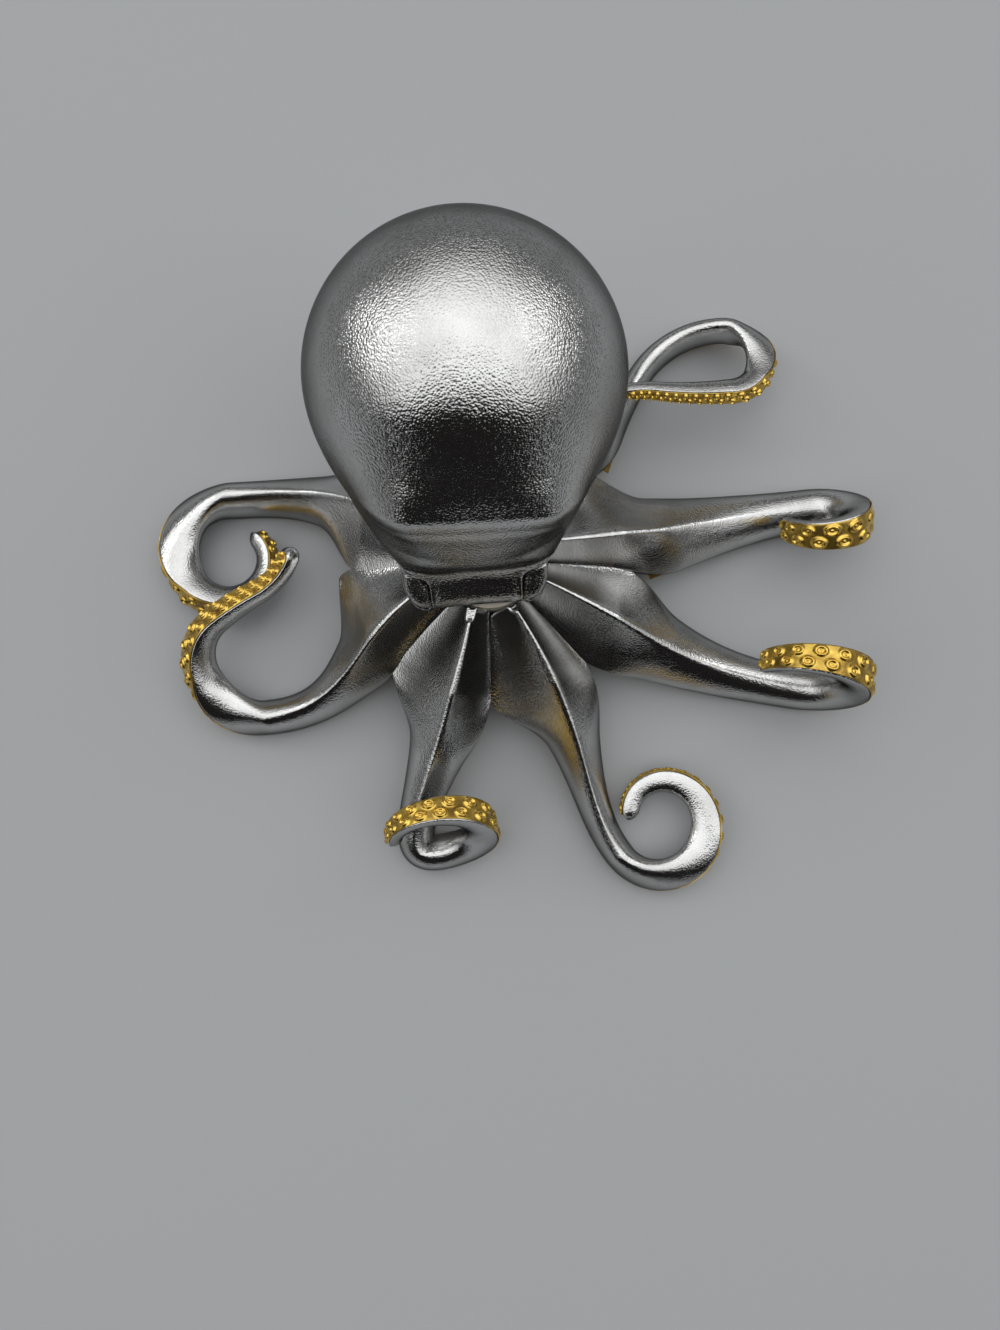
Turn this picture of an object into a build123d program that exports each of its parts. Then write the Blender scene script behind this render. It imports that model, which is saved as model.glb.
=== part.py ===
from build123d import *
from dataclasses import dataclass
import math
import os

# An octopus ornament in cast resin, silver leafed, with gilt sucker strips. It is worked out in millimetres
# about the hub axis, with the face towards -Y, and moved at the end onto the middle of its footprint.

# Arm roots around the hub
ARM_COUNT = 8
FIRST_BEARING = -112        # bearing of the front left root, anticlockwise from +X
ROOT_START = 14             # the route of every arm starts this far from the hub axis
ROOT_HEIGHT = 33            # and this high
ROOT_SLOPE = -12            # and falls at this angle
WEB_LENGTH = 35             # the roots are joined side by side along this much of the route
SEAM = 0.3                  # glue line between neighbouring roots
TRIM_RADIUS = 60            # the seams are true radial planes as far out as this

# Half width, back height and belly depth of an arm at the web, where it rests, and at the tip
WIDTH_WEB, WIDTH_REST, WIDTH_TIP = 20, 7, 3.4
BACK_WEB, BACK_REST, BACK_TIP = 14.5, 8.6, 2.8
BELLY_WEB, BELLY_REST, BELLY_TIP = 9.5, 5.2, 2.2
ROOT_POWER = 2.6            # how soon a root thins beyond the web
VALLEY_AT_HEAD = 6          # height of the valley between two roots above the route, at the head
KEEL_TO, ROUND_FROM = 0.35, 1.1    # the keel softens into a round back between these shares of the way to rest
TIP_ROUND = 4               # length of the rounded end
SECTION_STEP = 5            # distance between the sections of an arm

# Sucker strip, bonded along the belly of each arm; its thickness takes in the suckers
STRIP_START = 52            # distance along the route where the strip begins
STRIP_END = 2.2             # silver left beyond the strip at the tip
BELLY_SHARE = 0.95          # share of the arm's width that is flat underneath
STRIP_SHARE = 0.9           # share of the arm's width that the strip covers
STRIP_THICKNESS = 1.7
STRIP_BOND = 0.4            # bond line between the strip and the belly

# Felt pads that the arms stand on
PAD_RADIUS = 3.6
PAD_THICKNESS = 1.0
REST_FLAT = 0.8             # depth of the flat that each strip has over its pad

# Head: base, lean of its axis, and swell along it
HEAD_X, HEAD_Y = -6, 6      # centre of the head's base
HEAD_BASE = 44              # height of the head's base
HEAD_BEARING = 91           # the head leans this way
BULB_LEAN = 52              # from upright at the base to this lean
LEAN_LENGTH = 40            # along this much of the axis
NECK_RADIUS = 24.5
BULB_RADIUS = 50.5
NECK_END, BULB_MIDDLE, BULB_POLE = 4, 72, 121     # distances along the axis
SWELL_POWER = 1.45          # how late the neck swells into the bulb
BROW_PROUD = 1.6            # the brow swells out of the neck by this much
BROW_MIDDLE, BROW_REACH = 6, 7                    # distances along the axis
HEAD_WALL = 5
NECK_FLOOR = 26             # solid length of the neck, along the axis

# Eyes, two almonds under the brow
FACE_BEARING = -86
EYE_SPREAD = 52             # degrees from the middle of the face to either eye
EYE_HEIGHT = 50.5
EYE_LENGTH, EYE_OPENING, EYE_DEPTH = 15, 7, 9
EYE_PROUD = 2.8             # the eyes stand out of the brow by this much
EYE_SLANT = 24              # degrees that the outer corners are raised

# Core, dowels and plug
CORE_RADIUS = 18
CORE_BOTTOM = 20
GLUE = 0.2                  # glue line between castings
PIN_RADIUS, PIN_LENGTH, PIN_HEIGHT = 2, 18, 31
DOWEL_RADIUS, DOWEL_LENGTH = 4, 28
DOWEL_IN_HEAD = 12
PLUG_RADIUS, PLUG_DEPTH = 7, 5
FIT = 0.1                   # clearance around dowels and plug

UP = Vector(0, 0, 1)
SECTOR = 180 / ARM_COUNT    # half angle of one root
HEAD_ROOM = NECK_RADIUS + BROW_PROUD + EYE_PROUD + 0.6    # the arms stay out of this around the head
TALL = 200                  # height that passes through everything


@dataclass
class Arm:
    """One arm: how its route leaves the hub, where it comes to rest, and how its end curls."""
    name: str
    aim: float              # degrees that the root points off its own seat
    stride: float           # pull of the root on the route
    rest: tuple             # x and y where the arm rests
    heading: float          # bearing of the route there
    run_in: float           # pull of the resting point on the route
    tilt: float             # plane of the curl: 0 flat to the left, 90 upright, 180 flat to the right
    bends: list             # first radius, last radius and turn of each bend; a negative radius bends back
    roll: float             # how far the belly turns: 1 to the outside of the curl, more upwards from there
    climb: float = 0        # height gained along the curl
    roll_from: float = 0    # share of the curl where the belly starts to turn
    slim: float = 1         # share of the usual width
    fade: float = 1.2       # how late the curl thins towards the tip


# The order is the order of the seats, anticlockwise from the front left
ARMS = [
    Arm("front_left", 14, 58, (-19, -110), 10, 26, 60, [(18.5, 15.5, 275)], 1),
    Arm("front_right", 14, 56, (51, -111), -52, 28, 6,
        [(19.5, 19, 180), (17.5, 10.5, 160)], 0.9, slim=0.85, fade=0.8),
    Arm("right_lower", 0, 50, (118, -45), -10, 50, 78, [(20.5, 17, 265)], 1, slim=1.2),
    Arm("right_upper", -18, 56, (126, 26), 8, 46, 120, [(15.5, 12, 285)], 1, slim=1.2),
    Arm("back_right", -30, 50, (61.3, 82), 57, 20, 176,
        [(37, 37, 54), (16, 14, 179), (150, 150, 11), (-40, -40, 20)], 1.25, climb=16, roll_from=0.3, slim=0.7),
    Arm("back", 0, 36, (-22, 104), 66, 26, 174, [(17.5, 13.5, 285)], 0.9, slim=0.8),
    Arm("left_upper", -6, 42, (-104, 30), 184, 44, 6, [(22.5, 20, 150), (19, 12, 180)], 1.25),
    Arm("left_lower", 0, 42, (-87, -57), 186, 38, 155,
        [(25, 21, 148), (115, 115, 10), (-32, -24, 48)], 1.5, fade=0.8),
]

BEZIER_STEPS = 60
BEND_STEP = 4               # degrees
ROLL_SHARE = 0.4            # share of the curl along which the belly rolls


def bearing(angle, slope=0):
    """Unit vector at a bearing, rising at a slope."""
    a, s = math.radians(angle), math.radians(slope)
    return Vector(math.cos(a) * math.cos(s), math.sin(a) * math.cos(s), math.sin(s))


def seat_bearing(seat):
    return FIRST_BEARING + seat * 360 / ARM_COUNT


def rest_height():
    """Height of the route where an arm rests on its pad."""
    return PAD_THICKNESS - REST_FLAT + STRIP_THICKNESS + BELLY_REST


def root_route(arm, seat, rest, ahead):
    """Points from the hub to the resting place, with the back upwards."""
    start = bearing(seat_bearing(seat)) * ROOT_START + UP * ROOT_HEIGHT
    leave = start + bearing(seat_bearing(seat) + arm.aim, ROOT_SLOPE) * arm.stride
    arrive = rest - ahead * arm.run_in
    for k in range(BEZIER_STEPS):
        t = k / BEZIER_STEPS
        q = 1 - t
        yield start * q**3 + leave * (3 * q * q * t) + arrive * (3 * q * t * t) + rest * t**3, UP


def curl_route(arm, rest, ahead):
    """Points from the resting place to the tip; the back starts upwards and rolls into the curl."""
    tilt = math.radians(arm.tilt)
    inward = bearing(arm.heading + 90) * math.cos(tilt) + UP * math.sin(tilt)
    normal = ahead.cross(inward)
    whole = sum(turn for first, last, turn in arm.bends)
    here, angle, turned = rest, 0, 0

    def place():
        share = turned / whole
        inside = inward * math.cos(angle) - ahead * math.sin(angle)
        rolled = min(1, max(0, share - arm.roll_from) / ROLL_SHARE)
        lean = (math.pi / 2 - tilt) * (1 - arm.roll * rolled)
        lift = UP * arm.climb * share * share * (3 - 2 * share)
        return here + lift, inside * math.cos(lean) + normal * math.sin(lean)

    for first, last, turn in arm.bends:
        steps = math.ceil(turn / BEND_STEP)
        step = math.radians(turn / steps)
        for k in range(steps):
            yield place()
            radius = first + (last - first) * (k + 0.5) / steps
            half = angle + math.copysign(step / 2, radius)
            here = here + (ahead * math.cos(half) + inward * math.sin(half)) * (abs(radius) * step)
            angle += math.copysign(step, radius)
            turned += turn / steps
    yield place()


def route(arm, seat):
    """Points along an arm, each with its direction and the direction of its back."""
    rest = Vector(arm.rest[0], arm.rest[1], rest_height())
    ahead = bearing(arm.heading)
    places = list(root_route(arm, seat, rest, ahead)) + list(curl_route(arm, rest, ahead))
    points = []
    for k, (here, back) in enumerate(places):
        before = places[max(0, k - 1)][0]
        after = places[min(len(places) - 1, k + 1)][0]
        way = (after - before).normalized()
        points.append((here, way, (back - way * back.dot(way)).normalized()))
    return points


class Limb:
    """An arm's route measured along its length, with its girth at each place."""

    def __init__(self, arm, seat):
        self.arm, self.seat = arm, seat
        self.points = route(arm, seat)
        self.along = [0]
        for before, after in zip(self.points[:-1], self.points[1:]):
            self.along.append(self.along[-1] + (after[0] - before[0]).length)
        self.length = self.along[-1]
        self.rest = self.along[BEZIER_STEPS]

    def at(self, s):
        """Plane across the arm at a distance along it: x to the side, y to the back."""
        k = max(i for i, value in enumerate(self.along) if value <= s + 1e-6)
        k = min(k, len(self.points) - 2)
        t = (s - self.along[k]) / (self.along[k + 1] - self.along[k])
        here, way, back = (a * (1 - t) + b * t for a, b in zip(self.points[k], self.points[k + 1]))
        return Plane(origin=here, x_dir=back.cross(way), z_dir=way)

    def taper(self, s, web, rest, tip):
        """A size that runs from the web to the resting place and on to the tip."""
        if s < self.rest:
            return rest + (web - rest) * (1 - max(0, s - WEB_LENGTH) / (self.rest - WEB_LENGTH)) ** ROOT_POWER
        return tip + (rest - tip) * (1 - ((s - self.rest) / (self.length - self.rest)) ** self.arm.fade)

    def girth(self, s):
        """Half width, back height, belly depth and height of the widest place."""
        slim = self.arm.slim
        width = self.taper(s, WIDTH_WEB, WIDTH_REST * slim, WIDTH_TIP * slim)
        back = self.taper(s, BACK_WEB, BACK_REST, BACK_TIP)
        belly = self.taper(s, BELLY_WEB, BELLY_REST, BELLY_TIP)
        side = -belly / 3
        if s < WEB_LENGTH:
            width = (ROOT_START + s) * math.tan(math.radians(SECTOR)) + SEAM
            side += (VALLEY_AT_HEAD - side) * (1 - s / WEB_LENGTH)
        left = self.length - s
        if left < TIP_ROUND:
            shrink = math.sqrt(1 - 0.96 * (1 - left / TIP_ROUND) ** 2)
            width, back, belly, side = (size * shrink for size in (width, back, belly, side))
        return width, back, belly, side

    def steps(self):
        """Distances of the sections along the arm, as far as its rounded end."""
        last = self.length - TIP_ROUND
        count = math.ceil(last / SECTION_STEP)
        return [last * k / count for k in range(count + 1)]

    def body(self):
        """The arm itself: a back that is keeled at the root and round in the curl, and a flat belly."""
        faces = []
        ends = [self.length - TIP_ROUND * share for share in (0.55, 0.25, 0.06, 0)]
        for s in self.steps() + ends:
            width, back, belly, side = self.girth(s)
            rise = back - side
            soft = min(1, max(0, (s / self.rest - KEEL_TO) / (ROUND_FROM - KEEL_TO)))
            flank = [(0, 1), (0.45, 0.64 + 0.24 * soft), (0.84, 0.25 + 0.28 * soft), (1, 0)]
            right = [(x * width, side + y * rise) for x, y in flank]
            left = [(-x, y) for x, y in reversed(right)]
            corner = BELLY_SHARE * width
            under = Polyline(right[-1], (corner, -belly), (-corner, -belly), left[0])
            faces.append(self.at(s) * make_face([Spline(*right), under, Spline(*left)]))
        return loft(faces)

    def strip(self):
        """The sucker strip, on the belly."""
        faces = []
        between = [s for s in self.steps() if s > STRIP_START + 1]
        for s in [STRIP_START] + between + [self.length - STRIP_END]:
            width, back, belly, side = self.girth(s)
            half = STRIP_SHARE * width
            top, bottom = -belly - STRIP_BOND, -belly - STRIP_THICKNESS
            corners = [(-half, bottom), (half, bottom), (half, top), (-half, top)]
            faces.append(self.at(s) * make_face(Polyline(*corners, close=True)))
        return loft(faces) - block_below(PAD_THICKNESS)


def block_below(height):
    """Everything below a height."""
    return Pos(0, 0, height) * Box(4 * TALL, 4 * TALL, TALL, align=(Align.CENTER, Align.CENTER, Align.MAX))


def sector(seat):
    """The wedge of space that belongs to one root, short of its seams by half the glue line."""
    side = math.radians(SECTOR)
    apex = SEAM / 2 / math.sin(side)
    reach = 2 * TRIM_RADIUS
    far = [(apex + reach * math.cos(side), sign * reach * math.sin(side)) for sign in (1, -1)]
    wedge = extrude(make_face(Polyline((apex, 0), *far, close=True)), TALL)
    return Rot(0, 0, seat_bearing(seat)) * wedge


def head_place(d):
    """Plane across the head at a distance along its axis."""
    count = 40
    here = Vector(HEAD_X, HEAD_Y, HEAD_BASE)
    for k in range(count):
        here = here + head_way(d * (k + 0.5) / count) * (d / count)
    return Plane(origin=here, x_dir=bearing(HEAD_BEARING - 90), z_dir=head_way(d))


def head_way(d):
    return bearing(HEAD_BEARING, 90 - BULB_LEAN * min(1, d / LEAN_LENGTH))


def head_radius(d):
    if d > BULB_MIDDLE:
        return BULB_RADIUS * math.sqrt(1 - ((d - BULB_MIDDLE) / (BULB_POLE - BULB_MIDDLE)) ** 2)
    t = max(0, d - NECK_END) / (BULB_MIDDLE - NECK_END)
    swell = (BULB_RADIUS - NECK_RADIUS) * math.sin(t * math.pi / 2) ** SWELL_POWER
    off = min(1, abs(d - BROW_MIDDLE) / BROW_REACH)
    return NECK_RADIUS + swell + BROW_PROUD * (1 + math.cos(off * math.pi)) / 2


def head_form(grow, first):
    """The head grown or shrunk all round, from a distance along its axis to its pole."""
    neck = [d for d in (0, 3, 6, 9, 13, 19) if d >= first]
    middle = max(first, 26)
    stations = neck + [middle + (BULB_MIDDLE - middle) * k / 5 for k in range(6)]
    stations += [BULB_MIDDLE + (BULB_POLE - BULB_MIDDLE) * share for share in (0.35, 0.6, 0.8, 0.93, 0.985)]
    rings = []
    for d in stations:
        radius = head_radius(d) + grow
        ring = CenterArc((0, 0), radius, 0, 180) + CenterArc((0, 0), radius, 180, 180)
        place = d + grow * max(0, d - BULB_MIDDLE) / (BULB_POLE - BULB_MIDDLE)
        rings.append(head_place(place) * make_face(ring))
    return loft(rings + [Vertex(*head_place(BULB_POLE + grow).origin)])


def eye(side):
    """An almond that bulges out of the brow, on the left (-1) or the right (1) of the face."""
    turn = FACE_BEARING + side * EYE_SPREAD
    out = NECK_RADIUS + BROW_PROUD + EYE_PROUD - EYE_DEPTH / 2
    middle = Vector(HEAD_X, HEAD_Y, EYE_HEIGHT) + bearing(turn) * out
    ball = scale(Sphere(0.5), by=(EYE_DEPTH, EYE_LENGTH, EYE_OPENING))
    return Pos(middle) * Rot(0, 0, turn) * Rot(side * EYE_SLANT, 0, 0) * ball


def dowel(height, radius, grow=0):
    return Cylinder(radius + grow, height + 2 * grow)


def arm_pin(seat, grow=0):
    """A dowel across the joint between the core and one root."""
    middle = bearing(seat_bearing(seat)) * CORE_RADIUS + UP * PIN_HEIGHT
    return Pos(middle) * Rot(0, 0, seat_bearing(seat)) * Rot(0, 90, 0) * dowel(PIN_LENGTH, PIN_RADIUS, grow)


def neck_dowel(grow=0):
    """The upright dowel that centres the head on the core."""
    middle = Vector(0, 0, HEAD_BASE + DOWEL_IN_HEAD - DOWEL_LENGTH / 2)
    return Pos(middle) * dowel(DOWEL_LENGTH, DOWEL_RADIUS, grow)


def base_plug(grow=0):
    """The plug that closes the bottom of the core."""
    return Pos(0, 0, CORE_BOTTOM + PLUG_DEPTH / 2) * dowel(PLUG_DEPTH, PLUG_RADIUS, grow)


def hub_core():
    height = HEAD_BASE - CORE_BOTTOM
    core = Pos(0, 0, CORE_BOTTOM + height / 2) * Cylinder(CORE_RADIUS, height)
    core -= neck_dowel(FIT)
    core -= base_plug(FIT)
    for seat in range(ARM_COUNT):
        core -= arm_pin(seat, FIT)
    return core


def mantle_shell():
    head = head_form(0, 0) + eye(-1) + eye(1)
    return head - head_form(-HEAD_WALL, NECK_FLOOR) - neck_dowel(FIT)


def upright(radius, seat):
    """An upright cutter on the hub axis, whose own seam line is turned away from one root."""
    return Pos(0, 0, TALL / 2) * Rot(0, 0, seat_bearing(seat) + 180) * Cylinder(radius, TALL)


def arm_casting(limb):
    arm = limb.body()
    arm -= upright(TRIM_RADIUS, limb.seat) - sector(limb.seat)
    arm -= upright(CORE_RADIUS + GLUE, limb.seat)
    arm -= Pos(HEAD_X, HEAD_Y, HEAD_BASE - GLUE) * upright(HEAD_ROOM, limb.seat)
    return arm - arm_pin(limb.seat, FIT)


def felt_pad(arm):
    return Pos(arm.rest[0], arm.rest[1], PAD_THICKNESS / 2) * Cylinder(PAD_RADIUS, PAD_THICKNESS)


limbs = [Limb(arm, seat) for seat, arm in enumerate(ARMS)]

pieces = {
    "mantle_shell": mantle_shell(),
    "hub_core": hub_core(),
    "neck_dowel": neck_dowel(),
    "base_plug": base_plug(),
    "arm_pins": Compound([arm_pin(seat) for seat in range(ARM_COUNT)]),
    "felt_pads": Compound([felt_pad(arm) for arm in ARMS]),
}
for limb in limbs:
    pieces["arm_" + limb.arm.name] = arm_casting(limb)
    pieces["suckers_" + limb.arm.name] = limb.strip()

# The origin is the middle of the footprint, on the surface that the octopus stands on
box = Compound([piece for piece in pieces.values()]).bounding_box()
footprint = Pos(-(box.min.X + box.max.X) / 2, -(box.min.Y + box.max.Y) / 2, 0)

os.makedirs("parts", exist_ok=True)
for name, piece in pieces.items():
    export_step(footprint * piece, "parts/" + name + ".step")
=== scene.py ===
from dataclasses import dataclass
import math

import bpy
import numpy as np
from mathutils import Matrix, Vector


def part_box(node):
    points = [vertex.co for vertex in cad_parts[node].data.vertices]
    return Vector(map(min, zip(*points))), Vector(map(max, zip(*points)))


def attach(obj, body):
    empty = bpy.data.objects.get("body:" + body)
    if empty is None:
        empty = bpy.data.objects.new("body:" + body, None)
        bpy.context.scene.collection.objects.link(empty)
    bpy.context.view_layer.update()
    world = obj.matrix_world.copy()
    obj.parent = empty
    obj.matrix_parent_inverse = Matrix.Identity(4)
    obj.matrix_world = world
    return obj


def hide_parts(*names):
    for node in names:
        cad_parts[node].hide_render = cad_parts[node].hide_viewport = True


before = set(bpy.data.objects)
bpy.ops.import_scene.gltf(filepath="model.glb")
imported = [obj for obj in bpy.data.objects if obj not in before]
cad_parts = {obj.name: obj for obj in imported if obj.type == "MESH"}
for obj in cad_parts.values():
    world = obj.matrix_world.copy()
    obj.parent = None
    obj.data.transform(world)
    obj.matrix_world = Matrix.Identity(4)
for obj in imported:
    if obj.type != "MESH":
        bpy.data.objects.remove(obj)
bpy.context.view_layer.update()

# The studio: a pale grey table, a wide soft light overhead, a weaker one on either side, and a dark front
# that the metal mirrors. The camera looks almost straight down, a little towards the back, from about
# 400 mm above the table.
MM = 0.001
FOCAL_LENGTH = 27.07
CAMERA_FROM_HUB = np.array((4, -62, 404)) * MM
CAMERA_LEAN = 3.7
NEAREST_SEEN = 0.01
TABLE_SIZE = 4.0
TABLE_GREY, TABLE_ROUGHNESS = (0.40, 0.41, 0.42, 1), 0.75
CEILING, WALLS, DARK_FRONT = (1.32, 1.33, 1.34, 1), (0.1, 0.1, 0.102, 1), (0.012, 0.011, 0.011, 1)
WALLS_END, CEILING_STARTS = 0.25, 0.8
FRONT_SLOPE, FRONT_NARROWING = 0.25, 0.5
FRONT_EDGE, FRONT_FULL = -0.05, 0.15

core_low, core_high = (np.array(corner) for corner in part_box("hub_core"))
hub = (core_low + core_high) / 2 * (1, 1, 0)

scene = bpy.context.scene
scene.view_settings.view_transform = "Standard"
camera_data = bpy.data.cameras.new("camera")
camera_data.lens = FOCAL_LENGTH
camera_data.clip_start = NEAREST_SEEN
camera = bpy.data.objects.new("camera", camera_data)
camera.location = hub + CAMERA_FROM_HUB
camera.rotation_euler = (math.radians(CAMERA_LEAN), 0, 0)
scene.collection.objects.link(camera)
scene.camera = camera


class Signal:
    """A shader value that can be added, subtracted, multiplied and made positive."""

    def __init__(self, finish, socket):
        self.finish, self.socket = finish, socket

    def math(self, operation, first, second):
        return self.finish.node("ShaderNodeMath", {"operation": operation}, {0: first, 1: second})

    def __add__(self, other):
        return self.math("ADD", self, other)

    def __sub__(self, other):
        return self.math("SUBTRACT", self, other)

    def __rsub__(self, other):
        return self.math("SUBTRACT", other, self)

    def __mul__(self, other):
        return self.math("MULTIPLY", self, other)

    def __abs__(self):
        return self.math("ABSOLUTE", self, 0)

    __radd__ = __add__
    __rmul__ = __mul__


class Finish:
    """The nodes of a material or of the world, with the values that are the same all over."""
    OBJECT_PLACE = 3
    ATTRIBUTE_NUMBER = 2
    MIX_SHARE, MIX_FIRST, MIX_SECOND, MIX_COLOUR = 0, 6, 7, 2

    def __init__(self, owner, values=None, last="Principled BSDF"):
        owner.use_nodes = True
        self.owner, self.tree = owner, owner.node_tree
        self.last = self.tree.nodes[last]
        for name, value in (values or {}).items():
            self.last.inputs[name].default_value = value

    def node(self, kind, settings, sockets, out=0):
        """Adds a node: its settings first, then the values or links of its sockets."""
        node = self.tree.nodes.new(kind)
        for name, value in settings.items():
            setattr(node, name, value)
        for name, value in sockets.items():
            self.connect(node.inputs[name], value)
        return Signal(self, node.outputs[out])

    def connect(self, socket, value):
        if isinstance(value, Signal):
            self.tree.links.new(value.socket, socket)
        else:
            socket.default_value = value

    def feed(self, name, value):
        self.connect(self.last.inputs[name], value)

    def place(self):
        """The place on the piece, in metres."""
        return self.node("ShaderNodeTexCoord", {}, {}, self.OBJECT_PLACE)

    def marked(self, name):
        """A number that is stored for each point of the piece."""
        return self.node("ShaderNodeAttribute", {"attribute_name": name}, {}, self.ATTRIBUTE_NUMBER)

    def noise(self, where, scale, detail):
        return self.node("ShaderNodeTexNoise", {}, {"Vector": where, "Scale": scale, "Detail": detail})

    def spread(self, value, low, high):
        """Stretches a value so that low becomes 0 and high becomes 1."""
        return self.node("ShaderNodeMapRange", {}, {"Value": value, "From Min": low, "From Max": high})

    def blend(self, share, first, second):
        """A colour between two colours."""
        sockets = {self.MIX_SHARE: share, self.MIX_FIRST: first, self.MIX_SECOND: second}
        return self.node("ShaderNodeMix", {"data_type": "RGBA"}, sockets, self.MIX_COLOUR)

    def bump(self, height, distance, strength=1.0, over=None):
        """Relief of a height in metres, over another relief if one is given."""
        sockets = {"Height": height, "Distance": distance, "Strength": strength}
        if over is not None:
            sockets["Normal"] = over
        return self.node("ShaderNodeBump", {}, sockets)


def mesh_object(name, points, faces):
    """A smooth-shaded object from points in metres in the frame."""
    mesh = bpy.data.meshes.new(name)
    mesh.from_pydata([tuple(map(float, point)) for point in points], [], faces)
    mesh.update()
    mesh.polygons.foreach_set("use_smooth", [True] * len(mesh.polygons))
    made = bpy.data.objects.new(name, mesh)
    scene.collection.objects.link(made)
    return made


def lamp(name, place, aim, size, power):
    """A square soft light that faces a point."""
    data = bpy.data.lights.new(name, "AREA")
    data.size, data.energy = size, power
    made = bpy.data.objects.new(name, data)
    made.location = place
    way = np.array(aim) - np.array(place)
    made.rotation_euler = (0, math.acos(-way[2] / np.linalg.norm(way)), math.atan2(-way[1], -way[0]))
    scene.collection.objects.link(made)
    return made


half = TABLE_SIZE / 2
table_corners = [(-half, -half, 0), (half, -half, 0), (half, half, 0), (-half, half, 0)]
table = mesh_object("table", table_corners, [(0, 1, 2, 3)])
table_values = {"Base Color": TABLE_GREY, "Roughness": TABLE_ROUGHNESS}
table_top = Finish(bpy.data.materials.new("table_grey"), table_values)
table.data.materials.append(table_top.owner)

lamp("overhead", place=(-0.1, 0.45, 1.1), aim=(0, 0.05, 0), size=1.0, power=0.4)
lamp("left", place=(-0.9, 0.4, 0.7), aim=(0, 0, 0.05), size=0.35, power=0.9)
lamp("right", place=(0.9, 0.5, 0.7), aim=(0, 0, 0.05), size=0.35, power=0.7)

world = bpy.data.worlds.new("studio")
scene.world = world
room = Finish(world, {"Strength": 1.0}, last="Background")
direction = room.node("ShaderNodeTexCoord", {}, {})
across, depth, height = (
    room.node("ShaderNodeSeparateXYZ", {}, {"Vector": direction}, axis) for axis in range(3))
lit = room.blend(room.spread(height, WALLS_END, CEILING_STARTS), WALLS, CEILING)
towards_front = depth * -1 - height * FRONT_SLOPE - abs(across) * FRONT_NARROWING
room.feed("Color", room.blend(room.spread(towards_front, FRONT_EDGE, FRONT_FULL), lit, DARK_FRONT))


# The eight arms: resin castings with wedge-shaped roots, glued and pinned to the core side by side. They are
# silver leafed, with a keel along the back that fades towards the end, and each arm curls in its own way.
# Sizes are in millimetres about the hub axis, as in the solids.
ARM_COUNT = 8
FIRST_BEARING = -112
ROOT_START, ROOT_HEIGHT, ROOT_SLOPE, ROOT_POWER = 14, 33, -12, 2.6
WEB_LENGTH = 35
SEAM = 0.01
WIDTH_WEB, WIDTH_REST, WIDTH_TIP = 20, 7.0, 3.4
BACK_WEB, BACK_REST, BACK_TIP = 14.5, 8.6, 2.8
BELLY_WEB, BELLY_REST, BELLY_TIP = 9.5, 5.2, 2.2
VALLEY_INNER, VALLEY_OUTER = 39, 21.5
TIP_ROUND, TIP_BLUNTNESS = 4, 0.985
STRIP_THICKNESS = 1.7
PAD_THICKNESS, REST_FLAT = 1.0, 0.8
HEAD_CENTRE, HEAD_BASE = np.array((-6, 6)), 44


@dataclass
class Arm:
    """One arm: how its route leaves the hub, where it comes to rest, how its end curls, and its girth.

    A bend is its first radius, its last radius and its turn. A negative radius bends the other way.
    """
    name: str
    aim: float  # turn from the bearing of its seat
    stride: float  # pull of the route towards that bearing
    rest: tuple  # where it touches the table
    heading: float  # bearing of the route there
    run_in: float  # pull of the route towards that bearing
    tilt: float  # of the plane of the curl, from level
    bends: list
    roll: float  # share of a quarter turn that the belly makes towards the outside of the curl
    climb: float = 0  # rise of the curl
    roll_from: float = 0  # share of the curl before the roll starts
    slim: float = 1  # width, as a share
    fade: float = 1.2  # power of the taper towards the tip
    narrowing: float = ROOT_POWER  # power of the taper from the root
    stout: float = 1  # height of the back, as a share


ARMS = [
    Arm("front_left", 14, 58, (-19, -110), 10, 26, 60, [(18.5, 15.5, 275)], 1),
    Arm("front_right", 14, 56, (51, -111), -52, 28, 6,
        [(19.5, 19, 180), (17.5, 10.5, 160)], 0.9, slim=0.85, fade=0.8, stout=1.3),
    Arm("right_lower", 0, 50, (118, -45), -10, 50, 78, [(20.5, 17, 265)], 1, slim=1.2, narrowing=1.8),
    Arm("right_upper", -18, 56, (126, 26), 8, 46, 120, [(15.5, 12, 285)], 1, slim=1.2, narrowing=1.5),
    Arm("back_right", -30, 50, (61.3, 82), 57, 20, 176,
        [(37, 37, 54), (16, 14, 179), (150, 150, 11), (-40, -40, 20)], 1.25,
        climb=16, roll_from=0.3, slim=0.7),
    Arm("back", 0, 36, (-22, 104), 66, 26, 174, [(17.5, 13.5, 285)], 0.9, slim=0.8),
    Arm("left_upper", -6, 42, (-104, 30), 184, 44, 6, [(22.5, 20, 150), (19, 12, 180)], 1.25, stout=1.3),
    Arm("left_lower", 0, 42, (-87, -57), 186, 38, 155,
        [(25, 21, 148), (115, 115, 10), (-32, -24, 48)], 1.5, fade=0.8, stout=1.3),
]
UP = np.array((0.0, 0.0, 1.0))


def bearing(angle, slope=0):
    """Unit vector at a bearing, rising at a slope."""
    a, s = math.radians(angle), math.radians(slope)
    return np.array((math.cos(a) * math.cos(s), math.sin(a) * math.cos(s), math.sin(s)))


def unit(vectors):
    return vectors / np.linalg.norm(vectors, axis=-1, keepdims=True)


def smooth(t):
    """Eases from 0 to 1."""
    t = np.clip(t, 0, 1)
    return t * t * (3 - 2 * t)


def in_frame(points):
    """Millimetres about the hub axis to metres in the frame."""
    return np.asarray(points) * MM + hub


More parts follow.
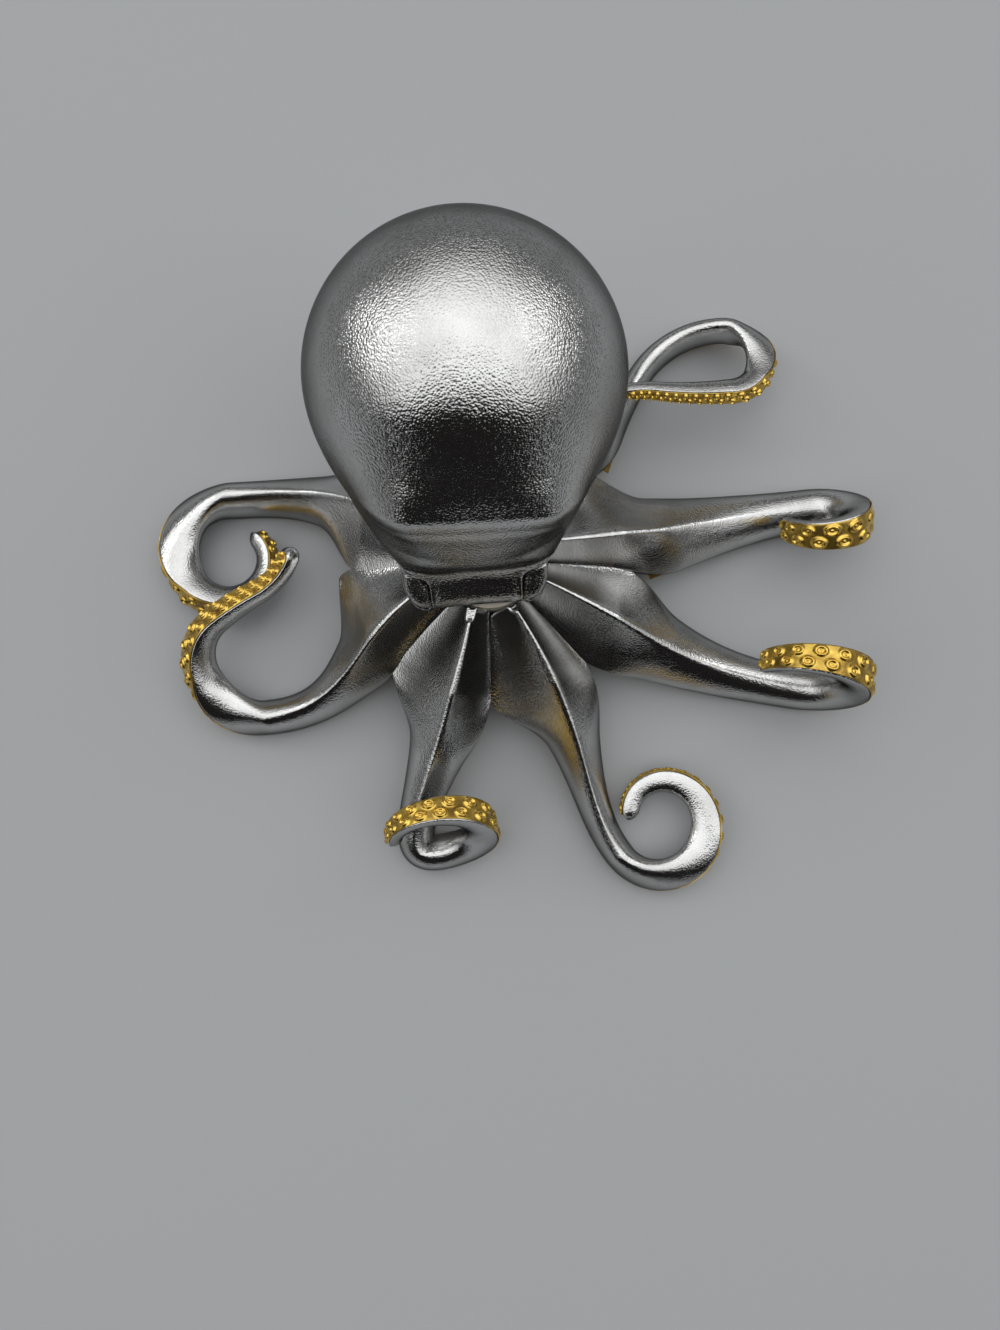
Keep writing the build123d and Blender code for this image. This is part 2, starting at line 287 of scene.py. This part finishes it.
class Limb:
    """An arm's route measured along its length, with its girth at each place."""
    ROOT_STEPS = 90
    BEND_STEP = 2
    ROLL_SHARE = 0.4

    def __init__(self, arm, seat):
        self.arm, self.seat = arm, FIRST_BEARING + seat * 360 / ARM_COUNT
        rest_height = PAD_THICKNESS - REST_FLAT + STRIP_THICKNESS + BELLY_REST
        rest = np.array((*arm.rest, rest_height))
        ahead = bearing(arm.heading)
        places = self.root_route(rest, ahead) + self.curl_route(rest, ahead)
        self.points = np.array([place for place, back in places])
        self.way = unit(np.gradient(self.points, axis=0))
        back = np.array([back for place, back in places])
        self.back = unit(back - self.way * np.sum(back * self.way, axis=1, keepdims=True))
        steps = np.linalg.norm(np.diff(self.points, axis=0), axis=1)
        self.along = np.concatenate([[0], np.cumsum(steps)])
        self.length, self.rest = self.along[-1], self.along[self.ROOT_STEPS]

    def root_route(self, rest, ahead):
        """Places from the hub to the rest, on one smooth curve."""
        start = bearing(self.seat) * ROOT_START + UP * ROOT_HEIGHT
        leave = start + bearing(self.seat + self.arm.aim, ROOT_SLOPE) * self.arm.stride
        arrive = rest - ahead * self.arm.run_in
        places = []
        for k in range(self.ROOT_STEPS):
            t = k / self.ROOT_STEPS
            q = 1 - t
            here = start * q**3 + leave * (3 * q * q * t) + arrive * (3 * q * t * t) + rest * t**3
            places.append((here, UP))
        return places

    def curl_route(self, rest, ahead):
        """Places from the rest to the tip, bend after bend."""
        arm, tilt = self.arm, math.radians(self.arm.tilt)
        inward = bearing(arm.heading + 90) * math.cos(tilt) + UP * math.sin(tilt)
        normal = np.cross(ahead, inward)
        whole = sum(turn for first, last, turn in arm.bends)
        here, angle, turned = rest, 0.0, 0.0
        places = []

        def add_place():
            share = turned / whole
            inside = inward * math.cos(angle) - ahead * math.sin(angle)
            rolled = min(1, max(0, share - arm.roll_from) / self.ROLL_SHARE)
            lean = (math.pi / 2 - tilt) * (1 - arm.roll * rolled)
            lift = UP * arm.climb * smooth(share)
            places.append((here + lift, inside * math.cos(lean) + normal * math.sin(lean)))

        for first, last, turn in arm.bends:
            steps = math.ceil(turn / self.BEND_STEP)
            step = math.radians(turn / steps)
            for k in range(steps):
                add_place()
                radius = first + (last - first) * (k + 0.5) / steps
                middle = angle + math.copysign(step / 2, radius)
                here = here + (ahead * math.cos(middle) + inward * math.sin(middle)) * abs(radius) * step
                angle += math.copysign(step, radius)
                turned += turn / steps
        add_place()
        return places

    def at(self, s):
        """Place, side direction and back direction at distances along the arm."""
        place, way, back = (
            np.stack([np.interp(s, self.along, values[:, axis]) for axis in range(3)], axis=-1)
            for values in (self.points, self.way, self.back))
        side = unit(np.cross(back, way))
        return place, side, unit(np.cross(way, side))

    def taper(self, s, web, rest, tip, power=ROOT_POWER):
        """A size along the arm, from the end of the web to the rest and on to the tip."""
        from_web = np.clip((s - WEB_LENGTH) / (self.rest - WEB_LENGTH), 0, 1)
        from_rest = np.clip((s - self.rest) / (self.length - self.rest), 0, 1)
        root = rest + (web - rest) * (1 - from_web) ** power
        end = tip + (rest - tip) * (1 - from_rest**self.arm.fade)
        return np.where(s < self.rest, root, end)

    def shrink(self, s):
        """The rounding of the tip."""
        over = np.clip(1 - (self.length - s) / TIP_ROUND, 0, 1)
        return np.sqrt(1 - TIP_BLUNTNESS * over**2)

    def crest(self, s):
        stout = self.arm.stout
        return self.taper(s, BACK_WEB, BACK_REST * stout, BACK_TIP * stout) * self.shrink(s)

    def belly(self, s):
        return self.taper(s, BELLY_WEB, BELLY_REST, BELLY_TIP) * self.shrink(s)

    def width(self, s):
        slim = self.arm.slim
        return self.taper(s, WIDTH_WEB, WIDTH_REST * slim, WIDTH_TIP * slim, self.arm.narrowing)

    def seam_width(self, s, turn):
        """Within the web, the width from the route to the seam on one side, and the height of the valley."""
        place, side, back = self.at(s)
        edge = math.radians(self.seat + turn * 180 / ARM_COUNT)
        out = np.array((-math.sin(edge), math.cos(edge), 0)) * turn
        width = (-place @ out - SEAM) / (side @ out * turn)
        foot = place + side * (width * turn)[:, None]
        share = (np.linalg.norm(foot[:, :2], axis=1) - ROOT_START) / WEB_LENGTH
        valley = VALLEY_INNER + (VALLEY_OUTER - VALLEY_INNER) * share
        return width, (valley - place[:, 2]) / back[:, 2]


limbs = [Limb(arm, seat) for seat, arm in enumerate(ARMS)]

FIRST_RING, ALONG_STEP, TIP_RINGS, FLANK_POINTS = 2, 0.9, 14, 26
KEEL_SOFTNESS, DISH_POWER, ROOF_FALL = 0.06, 1.6, 0.72
KEEL_STRENGTH, KEEL_FADES_FROM, KEEL_FADES_OVER = 0.95, 0.35, 0.75
SLIT_LENGTH, PART_LENGTH, SETTLE_LENGTH = 1, 30, 30
PARTS_EARLY, LOOSENS_EARLY, SETTLES_EARLY = 1, 2, 3
WIDE_SIDE, WIDE_PARTS_SOONER = 22, 0.8
WIDEST_DOWN = 1 / 3
# Under the widest place: shares of the width, and of the way down to the bed of the strip
SIDE_ROWS = ((0.995, 0.3), (0.985, 0.6), (0.965, 0.85), (0.94, 1))
UNDER_HEAD_RADIUS, UNDER_HEAD_GAP = 29, 0.3


def flank_shape(x, crisp, joined):
    """Height of the back over the widest place, from the keel at 0 to the side at 1."""
    soft = KEEL_SOFTNESS
    keel = (np.sqrt(x * x + soft**2) - soft) / (math.sqrt(1 + soft**2) - soft)
    dished = np.clip(1 - keel, 0, 1) ** DISH_POWER
    roof = 1 - ROOF_FALL * keel - (1 - ROOF_FALL) * x**4
    rounded = np.sqrt(np.clip(1 - x * x, 0, 1))
    return crisp * (joined * dished + (1 - joined) * roof) + (1 - crisp) * rounded


def arm_mesh(limb):
    """Rings of points along the arm: the back over the keel, the sides, and the bed of the strip."""
    body = np.arange(FIRST_RING, limb.length - TIP_ROUND, ALONG_STEP)
    end = limb.length - TIP_ROUND * (1 - np.sin(np.linspace(0, math.pi / 2, TIP_RINGS)))
    s = np.concatenate([body, end])
    place, side, back = limb.at(s)
    free, crest, belly = limb.width(s), limb.crest(s), limb.belly(s)
    past_web = s - WEB_LENGTH
    crisp = KEEL_STRENGTH * (1 - smooth((s / limb.rest - KEEL_FADES_FROM) / KEEL_FADES_OVER))
    joined = 1 - smooth((past_web + LOOSENS_EARLY) / PART_LENGTH)
    settled = smooth((past_web + SETTLES_EARLY) / SETTLE_LENGTH)

    x = np.sin(np.linspace(0, math.pi / 2, FLANK_POINTS))
    heights = [flank_shape(across, crisp, joined) for across in x]
    halves = []
    for turn in (1, -1):
        seam, valley = limb.seam_width(np.minimum(s, WEB_LENGTH + SLIT_LENGTH), turn)
        # A wide side is rounded off sooner than a narrow one
        sooner = PARTS_EARLY + WIDE_PARTS_SOONER * max(seam[-1] - WIDE_SIDE, 0)
        parted = smooth((past_web + sooner) / PART_LENGTH)
        width = (seam + (free - seam) * parted) * limb.shrink(s)
        level = valley * (1 - settled) - belly * WIDEST_DOWN * settled
        over = [(turn * width * across, level + (crest - level) * up) for across, up in zip(x, heights)]
        under = [(turn * width * across, level - (level + belly) * down) for across, down in SIDE_ROWS]
        halves.append(over + under)
    ring = halves[0] + halves[1][:0:-1]
    points = np.stack([place + side * across[:, None] + back * up[:, None] for across, up in ring], axis=1)
    under_head = np.linalg.norm(points[..., :2] - HEAD_CENTRE, axis=-1) < UNDER_HEAD_RADIUS
    lowered = np.minimum(points[..., 2], HEAD_BASE - UNDER_HEAD_GAP)
    points[..., 2] = np.where(under_head, lowered, points[..., 2])
    return s, points


def tube_faces(rings, count):
    """Faces of a closed tube of rings with both ends capped."""
    faces = []
    for k in range(rings - 1):
        for j in range(count):
            n = (j + 1) % count
            faces.append((k * count + j, (k + 1) * count + j, (k + 1) * count + n, k * count + n))
    faces.append(tuple(range(count)))
    faces.append(tuple((rings - 1) * count + j for j in reversed(range(count))))
    return faces


def tube_object(name, points):
    """An object from rings of points in millimetres about the hub axis."""
    return mesh_object(name, in_frame(points.reshape(-1, 3)), tube_faces(*points.shape[:2]))


def mark(made, name, values):
    """Stores one number for each point of a piece."""
    attribute = made.data.attributes.new(name, "FLOAT", "POINT")
    attribute.data.foreach_set("value", np.asarray(values, dtype=np.float32).ravel())


def crease(made, on_crease):
    """Makes the edges crisp whose two points are both on a crease."""
    ends = np.empty(2 * len(made.data.edges), dtype=np.int32)
    made.data.edges.foreach_get("vertices", ends)
    attribute = made.data.attributes.new("sharp_edge", "BOOLEAN", "EDGE")
    attribute.data.foreach_set("value", on_crease.ravel()[ends].reshape(-1, 2).all(axis=1))


# The third silver colour is painted shade, for the slits, the base of the head and the eye grooves.
SILVER, SILVER_WORN, SILVER_SHADE = (0.66, 0.66, 0.65, 1), (0.5, 0.495, 0.475, 1), (0.07, 0.062, 0.045, 1)
SILVER_EDGE = (0.15, 0.15, 0.15, 1)
SPECKLE_SCALE, PEBBLE_SCALE, PATCH_SCALE, RIPPLE_SCALE = 1900, 1400, 55, 120
WORN_FROM, WORN_FULL, SPECKLE_WEAR = 0.55, 0.95, 0.35
LEAF_ROUGHNESS, WORN_ROUGHNESS, SPECKLE_ROUGHNESS = 0.1, 0.08, 0.06
RIPPLE_HEIGHT, RIPPLE_STRENGTH, SPECKLE_SHARE = 0.35, 0.4, 0.6
ARM_GRAIN = 0.08


def silver_leaf(name, grain):
    """Leaf laid over cast resin: bright, with painted shade in the hollows, and a fine grain of a given
    height.
    """
    finish = Finish(bpy.data.materials.new(name), {"Metallic": 1.0, "Specular Tint": SILVER_EDGE})
    where = finish.place()
    speckle = finish.noise(where, SPECKLE_SCALE, detail=2)
    pebbles = finish.node("ShaderNodeTexVoronoi", {}, {"Vector": where, "Scale": PEBBLE_SCALE})
    patches = finish.noise(where, PATCH_SCALE, detail=4)
    ripples = finish.noise(where, RIPPLE_SCALE, detail=1)
    worn = finish.spread(patches + speckle * SPECKLE_WEAR, WORN_FROM, WORN_FULL)
    leaf = finish.blend(worn, SILVER, SILVER_WORN)
    # Painted shade: the leaf is blended towards near-black where a piece marks its shaded places.
    finish.feed("Base Color", finish.blend(finish.marked("painted_shade"), leaf, SILVER_SHADE))
    finish.feed("Roughness", LEAF_ROUGHNESS + WORN_ROUGHNESS * worn + SPECKLE_ROUGHNESS * speckle)
    coarse = finish.bump(ripples, RIPPLE_HEIGHT * MM, RIPPLE_STRENGTH)
    finish.feed("Normal", finish.bump(speckle * SPECKLE_SHARE - pebbles, grain * MM, over=coarse))
    return finish.owner


arm_leaf = silver_leaf("arm_leaf", ARM_GRAIN)
for limb in limbs:
    s, points = arm_mesh(limb)
    arm = tube_object("leafed_" + limb.arm.name, points)
    column = np.arange(points.shape[1])
    from_seam = np.minimum(column, points.shape[1] - column) - FLANK_POINTS + 1
    crease(arm, (s < WEB_LENGTH + SLIT_LENGTH)[:, None] & (from_seam == 0)[None, :])
    # Painted shade: the sides below the seam edge darken where the web parts into a slit.
    slit_shade = np.exp(-((s - WEB_LENGTH - SLIT_LENGTH / 2) / SLIT_LENGTH) ** 2)
    mark(arm, "painted_shade", slit_shade[:, None] * (from_seam > 0)[None, :])
    arm.data.materials.append(arm_leaf)
    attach(arm, "root")
    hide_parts("arm_" + limb.arm.name)


# The gilt sucker strips: thin castings, one bonded along the belly of each arm from beyond the web to the
# tip. Each has two staggered rows of ring suckers with a dimple, in bright gold with painted shade in brown
# on the low ground between the suckers and in their dimples.
STRIP_START, STRIP_END, STRIP_SHARE = 52, 2.2, 0.92
STRIP_BOND, STRIP_EDGE, STRIP_GROUND = 0.4, 0.15, 0.75
STRIP_STEP, STRIP_COLUMNS, STRIP_EDGE_POWER = 0.28, 41, 10
STRIP_ROUND, STRIP_BLUNTNESS = 4, 0.97
SUCKER_SHARE, ROW_SHARE, SUCKER_PITCH, SUCKER_REACH = 0.44, 0.45, 3.1, 1.3
RIM_AT, RIM_WIDTH = 0.7, 0.24
BUTTON_HEIGHT, BUTTON_WIDTH = 0.55, 0.22
# The third gilt colour is painted shade, brown, for the low ground between and inside the suckers.
GOLD, GOLD_DEEP, BROWN_SHADE = (0.87, 0.61, 0.14, 1), (0.72, 0.45, 0.08, 1), (0.16, 0.085, 0.02, 1)
GILT_SPECKLE_SCALE, GILT_PATCH_SCALE, GILT_DETAIL = 900, 120, 3
GOLD_OVER_SHADE_FROM, GOLD_OVER_SHADE_FULL, GILT_PATCH_SHARE = 0.2, 0.6, 0.9
DEEP_FROM, DEEP_FULL = 0.35, 0.7
BROWN_ROUGHNESS, GOLD_SMOOTHER, GILT_SPECKLE_ROUGHNESS = 0.42, 0.2, 0.08
GILT_GRAIN, GILT_GRAIN_STRENGTH = 0.15, 0.6


def sucker_height(along, across):
    """Height of a sucker, 0 to 1, at a distance from its middle in shares of its radius."""
    far = np.hypot(along, across)
    rim = np.exp(-((far - RIM_AT) / RIM_WIDTH) ** 2)
    button = BUTTON_HEIGHT * np.exp(-(far / BUTTON_WIDTH) ** 2)
    return np.where(far < SUCKER_REACH, np.maximum(rim, button), 0)


def strip_mesh(limb):
    """Rings across the strip: the sucker side from edge to edge, then the flat side on the belly."""
    last = limb.length - STRIP_END
    s = np.append(np.arange(STRIP_START, last, STRIP_STEP), last)
    place, side, back = limb.at(s)
    belly = limb.belly(s)
    full = STRIP_SHARE * limb.width(s)
    rounded = np.clip(1 - (last - s) / STRIP_ROUND, 0, 1)
    half = full * np.sqrt(1 - STRIP_BLUNTNESS * rounded**2)
    radius = SUCKER_SHARE * full
    pitch = SUCKER_PITCH * radius
    phase = np.concatenate([[0], np.cumsum(np.diff(s) / pitch[:-1])])
    columns, heights = [], []
    for across in np.linspace(-1, 1, STRIP_COLUMNS):
        offset = across * half
        rise = np.zeros_like(s)
        for row in (0, 1):
            middle = (2 * row - 1) * ROW_SHARE * full
            beside = ((phase + row / 2) % 1 - 0.5) * pitch
            rise = np.maximum(rise, sucker_height(beside / radius, (offset - middle) / radius))
        inner = np.sqrt(np.clip(1 - abs(across) ** STRIP_EDGE_POWER, 0, 1))
        edge = STRIP_BOND + STRIP_EDGE
        thick = edge + (STRIP_GROUND - edge + (STRIP_THICKNESS - STRIP_GROUND) * rise) * inner
        columns.append(place + side * offset[:, None] - back * (belly + thick)[:, None])
        heights.append(rise)
    for across in (1, -1):
        columns.append(place + side * (across * half)[:, None] - back * (belly + STRIP_BOND)[:, None])
        heights.append(np.zeros_like(s))
    points = np.stack(columns, axis=1)
    points[..., 2] = np.maximum(points[..., 2], PAD_THICKNESS)
    return points, np.stack(heights, axis=1)


gilt = Finish(bpy.data.materials.new("gilt"), {"Metallic": 1.0})
where = gilt.place()
speckle = gilt.noise(where, GILT_SPECKLE_SCALE, GILT_DETAIL)
patches = gilt.noise(where, GILT_PATCH_SCALE, GILT_DETAIL)
# Painted shade: brown where the strip lies low, between the suckers and in their dimples, and gold on the
# raised rims; random patches move the border.
gold_over_shade = gilt.spread(gilt.marked("rise") + GILT_PATCH_SHARE * patches, GOLD_OVER_SHADE_FROM, GOLD_OVER_SHADE_FULL)
gold = gilt.blend(gilt.spread(speckle, DEEP_FROM, DEEP_FULL), GOLD, GOLD_DEEP)
gilt.feed("Base Color", gilt.blend(gold_over_shade, BROWN_SHADE, gold))
gilt.feed("Roughness", BROWN_ROUGHNESS - GOLD_SMOOTHER * gold_over_shade + GILT_SPECKLE_ROUGHNESS * speckle)
gilt.feed("Normal", gilt.bump(speckle, GILT_GRAIN * MM, GILT_GRAIN_STRENGTH))

for limb in limbs:
    points, heights = strip_mesh(limb)
    strip = tube_object("gilt_" + limb.arm.name, points)
    mark(strip, "rise", heights)
    strip.data.materials.append(gilt.owner)
    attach(strip, "root")
    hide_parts("suckers_" + limb.arm.name)


# The head: a hollow resin casting on the core and its dowel, silver leafed with a coarser grain than the
# arms. It leans back from an upright base. Its front has a flat forehead that overhangs a hollow neck, then
# a brow with a straight lip, and an almond eye at either corner.
HEAD_BEARING = 91
BULB_LEAN, LEAN_LENGTH, AXIS_POINTS = 52, 40, 1211
NECK_RADIUS, BULB_RADIUS = 24.5, 50.5
NECK_END, BULB_MIDDLE, BULB_POLE = 4, 72, 121
SWELL_POWER = 1.45
LOW_END, LOW_RINGS, MIDDLE_RINGS, CROWN_RINGS, HEAD_POINTS = 16, 65, 90, 60, 640
# How far the flat front lies inside the round one, at distances along the axis
FACE_DENT = [
    (0, 2.8), (2.1, 2.4), (4.1, 3.7), (6.2, 7.1), (8.3, 10.5), (10.3, 12.3), (12.4, 12.9), (14.5, 12.7),
    (18.7, 11.3), (20.8, 10.1), (22.8, 8.4), (24.9, 6.4), (26.9, 3.6), (28.9, 1.2), (30.9, 0.2), (33, -0.4),
    (37.2, -1.9), (39.2, -3.1), (41.2, -3.7), (45.5, -4), (47.7, -3.4), (52, -2.4), (58, -1.2), (66, -0.4),
    (80, -0.3), (92, 0), (121, 0)]
FACE_TURN, FACE_PROUD, FACE_GRAZING = 4, 1.0, 0.02
FACE_ROUNDING, NECK_ROUNDING = 4, 5
HOLLOW_START, HOLLOW_END, HOLLOW_BLEND = 8, 26, 6
CORNER_SWELL, CORNER_FROM, CORNER_SPAN, CORNER_BLEND = 5.0, 3, 80, 40
CORNER_FADE, RIGHT_FADES_LATER, RIGHT_FROM, RIGHT_BLEND = 17, 15, -20, 60
FOREHEAD_SWELL, FOREHEAD_SPAN, FOREHEAD_BLEND = 2.2, 62, 40
EYE_SPREAD, EYE_AT, EYE_SLANT = 54, 6.5, 24
EYE_HALF_LENGTH, EYE_HALF_OPENING, EYE_LEAST_OPENING = 9.0, 3.0, 0.02
MOUND_HEIGHT, MOUND_LENGTH, MOUND_WIDTH, MOUND_BELOW = 2.0, 9, 6, 2.5
BALL_HEIGHT, LID_HEIGHT, GROOVE_DEPTH = 0.7, 1.1, 1.3
LID_WIDTH, LID_AT, GROOVE_WIDTH = 0.9, 1.5, 0.42
BASE_SHADE = 1.6
HEAD_GRAIN = 0.13


def head_axis(d):
    """Places along the axis of the head, with the directions to the side and to the back."""
    fine = np.linspace(0, BULB_POLE, AXIS_POINTS)
    lean = np.radians(BULB_LEAN * np.clip(fine / LEAN_LENGTH, 0, 1))
    way = np.sin(lean)[:, None] * bearing(HEAD_BEARING) + np.cos(lean)[:, None] * UP
    steps = np.concatenate([[np.zeros(3)], (way[:-1] + way[1:]) / 2 * np.diff(fine)[:, None]])
    path = np.cumsum(steps, axis=0) + (*HEAD_CENTRE, HEAD_BASE)
    place, way = (
        np.stack([np.interp(d, fine, values[:, axis]) for axis in range(3)], axis=-1)
        for values in (path, way))
    side = np.broadcast_to(bearing(HEAD_BEARING - 90), way.shape)
    return place, side, np.cross(way, side)


def head_radius(d):
    """Radius of the round head at distances along its axis."""
    t = np.clip((d - NECK_END) / (BULB_MIDDLE - NECK_END), 0, 1)
    neck = NECK_RADIUS + (BULB_RADIUS - NECK_RADIUS) * np.sin(t * math.pi / 2) ** SWELL_POWER
    crown = np.clip((d - BULB_MIDDLE) / (BULB_POLE - BULB_MIDDLE), 0, 1)
    return np.where(d < BULB_MIDDLE, neck, BULB_RADIUS * np.sqrt(1 - crown**2))


def through(x, knots):
    """A smooth curve through given places."""
    at, value = np.array(knots, dtype=float).T
    slope = np.gradient(value, at)
    k = np.clip(np.searchsorted(at, x) - 1, 0, len(at) - 2)
    span = at[k + 1] - at[k]
    t = np.clip((x - at[k]) / span, 0, 1)
    ends = value[k] * (1 + 2 * t) * (1 - t) ** 2 + value[k + 1] * t**2 * (3 - 2 * t)
    return ends + span * t * (1 - t) * (slope[k] * (1 - t) - slope[k + 1] * t)


def soft_least(first, second, reach):
    """The lesser of two lengths, with a rounded changeover."""
    overlap = np.clip(reach - np.abs(first - second), 0, reach)
    return np.minimum(first, second) - overlap**2 / (4 * reach)


def face_radius(d, from_face):
    """Radius of the head with its face, at angles from the middle of the face."""
    full, dent, off = head_radius(d), through(d, FACE_DENT), np.abs(from_face)
    fade = CORNER_FADE + RIGHT_FADES_LATER * smooth((from_face - RIGHT_FROM) / RIGHT_BLEND)
    at_base = 1 - smooth((d - CORNER_FROM) / fade)
    corners = CORNER_SWELL * at_base * smooth((CORNER_SPAN - off) / CORNER_BLEND)
    forehead = FOREHEAD_SWELL * np.maximum(-dent, 0) * smooth((FOREHEAD_SPAN - off) / FOREHEAD_BLEND)
    in_neck = smooth((d - HOLLOW_START) / HOLLOW_BLEND) * (1 - smooth((d - HOLLOW_END) / HOLLOW_BLEND))
    ahead = np.clip(np.cos(np.radians(from_face)), FACE_GRAZING, 1)
    flat = (full - dent + FACE_PROUD) / ahead
    front = soft_least(full + corners + forehead, flat, FACE_ROUNDING + NECK_ROUNDING * in_neck)
    return np.where(off < 90, front, full)


def eye_relief(d, around):
    """Relief of one eye and the depth of its groove, at distances up the head and around it from the eye."""
    slant = math.radians(EYE_SLANT)
    up = d - EYE_AT
    long_way = around * math.cos(slant) + up * math.sin(slant)
    across = up * math.cos(slant) - around * math.sin(slant)
    opening = EYE_HALF_OPENING * np.clip(1 - (long_way / EYE_HALF_LENGTH) ** 2, EYE_LEAST_OPENING, 1)
    share = np.abs(across) / opening
    inside = np.abs(long_way) < EYE_HALF_LENGTH
    from_rim = (share - 1) * opening
    groove = np.where(inside, np.exp(-(from_rim / GROOVE_WIDTH) ** 2), 0)
    lid = np.where(inside, np.exp(-(from_rim / LID_WIDTH - LID_AT) ** 2), 0)
    ball = np.where(inside, np.clip(1 - share**2, 0, 1), 0)
    mound = np.exp(-(long_way / MOUND_LENGTH) ** 2 - ((up + MOUND_BELOW) / MOUND_WIDTH) ** 2)
    relief = MOUND_HEIGHT * mound + BALL_HEIGHT * ball + LID_HEIGHT * lid - GROOVE_DEPTH * groove
    return relief, groove


low = np.linspace(0, LOW_END, LOW_RINGS)
middle = np.linspace(LOW_END, BULB_MIDDLE, MIDDLE_RINGS)[1:]
towards_pole = np.sin(np.linspace(0, math.pi / 2, CROWN_RINGS))[1:-1]
rings = np.concatenate([low, middle, BULB_MIDDLE + (BULB_POLE - BULB_MIDDLE) * towards_pole])
turns = np.linspace(-math.pi, math.pi, HEAD_POINTS, endpoint=False)
d, turn = np.meshgrid(rings, turns, indexing="ij")
place, side, back = (values[:, None, :] for values in head_axis(rings))
from_face = np.degrees((turn + math.pi / 2 + math.pi) % (2 * math.pi) - math.pi) - FACE_TURN
radius = face_radius(d, from_face)
# Painted shade: the leaf darkens around the base of the head, under its lip, and along the groove of each
# eye.
painted_shade = np.exp(-(d / BASE_SHADE) ** 2)
for hand in (-1, 1):
    around = np.radians(from_face - hand * EYE_SPREAD) * NECK_RADIUS * hand
    relief, groove = eye_relief(d, around)
    radius = radius + relief
    # Painted shade along this eye's groove.
    painted_shade = np.maximum(painted_shade, groove)
points = place + side * (radius * np.cos(turn))[..., None] + back * (radius * np.sin(turn))[..., None]
head = tube_object("leafed_head", points)
mark(head, "painted_shade", painted_shade)
head.data.materials.append(silver_leaf("head_leaf", HEAD_GRAIN))
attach(head, "root")
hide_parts("mantle_shell")


# Felt pads: discs punched from pressed felt, stuck under the strips where the arms meet the table.
# They are charcoal, with a slightly softened edge.
PAD_RADIUS, PAD_EDGE, PAD_POINTS = 3.6, 0.15, 48
FELT_DARK, FELT_LIGHT = (0.018, 0.017, 0.016, 1), (0.06, 0.055, 0.05, 1)
FIBRE_SCALE, FIBRE_DETAIL, FIBRE_HEIGHT, FIBRE_STRENGTH = 2400, 4, 0.2, 0.8

felt = Finish(bpy.data.materials.new("felt"), {"Metallic": 0.0, "Roughness": 0.95})
fibres = felt.noise(felt.place(), FIBRE_SCALE, FIBRE_DETAIL)
felt.feed("Base Color", felt.blend(fibres, FELT_DARK, FELT_LIGHT))
felt.feed("Normal", felt.bump(fibres, FIBRE_HEIGHT * MM, FIBRE_STRENGTH))

pad_turns = np.linspace(0, 2 * math.pi, PAD_POINTS, endpoint=False)
pad_profile = [
    (PAD_RADIUS - PAD_EDGE, 0), (PAD_RADIUS, PAD_EDGE),
    (PAD_RADIUS, PAD_THICKNESS - PAD_EDGE), (PAD_RADIUS - PAD_EDGE, PAD_THICKNESS)]
points, faces = [], []
for arm in ARMS:
    x, y = arm.rest
    first = len(points)
    for radius, level in pad_profile:
        points += [(x + radius * math.cos(t), y + radius * math.sin(t), level) for t in pad_turns]
    faces += [tuple(first + index for index in face) for face in tube_faces(len(pad_profile), PAD_POINTS)]
pads = mesh_object("stuck_pads", in_frame(points), faces)
pads.data.materials.append(felt.owner)
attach(pads, "root")
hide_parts("felt_pads")


# Inside and underneath: the core of bare cast resin, the cut steel dowels of the joints, and the rubber
# plug that is pressed in under the core. They are hidden or seen only from below, so the solids themselves
# are shown.
INNER_DETAIL, INNER_GRAIN, INNER_GRAIN_STRENGTH = 4, 0.1, 0.5
RESIN = {"Metallic": 0.0, "Roughness": 0.6}
STEEL = {"Metallic": 1.0, "Roughness": 0.35}
RUBBER = {"Metallic": 0.0, "Roughness": 0.8}
RESIN_DARK, RESIN_LIGHT = (0.42, 0.38, 0.31, 1), (0.60, 0.56, 0.48, 1)
STEEL_DARK, STEEL_LIGHT = (0.45, 0.45, 0.46, 1), (0.62, 0.62, 0.62, 1)
RUBBER_DARK, RUBBER_LIGHT = (0.012, 0.012, 0.012, 1), (0.03, 0.03, 0.03, 1)


def inner_finish(node, name, values, dark, light, scale):
    """A speckled finish on a piece that keeps its solid."""
    finish = Finish(bpy.data.materials.new(name), values)
    speckle = finish.noise(finish.place(), scale, INNER_DETAIL)
    finish.feed("Base Color", finish.blend(speckle, dark, light))
    finish.feed("Normal", finish.bump(speckle, INNER_GRAIN * MM, INNER_GRAIN_STRENGTH))
    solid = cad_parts[node]
    solid.data.materials.clear()
    solid.data.materials.append(finish.owner)


inner_finish("hub_core", "bare_resin", RESIN, RESIN_DARK, RESIN_LIGHT, scale=700)
inner_finish("arm_pins", "pin_steel", STEEL, STEEL_DARK, STEEL_LIGHT, scale=1500)
inner_finish("neck_dowel", "dowel_steel", STEEL, STEEL_DARK, STEEL_LIGHT, scale=1500)
inner_finish("base_plug", "plug_rubber", RUBBER, RUBBER_DARK, RUBBER_LIGHT, scale=900)
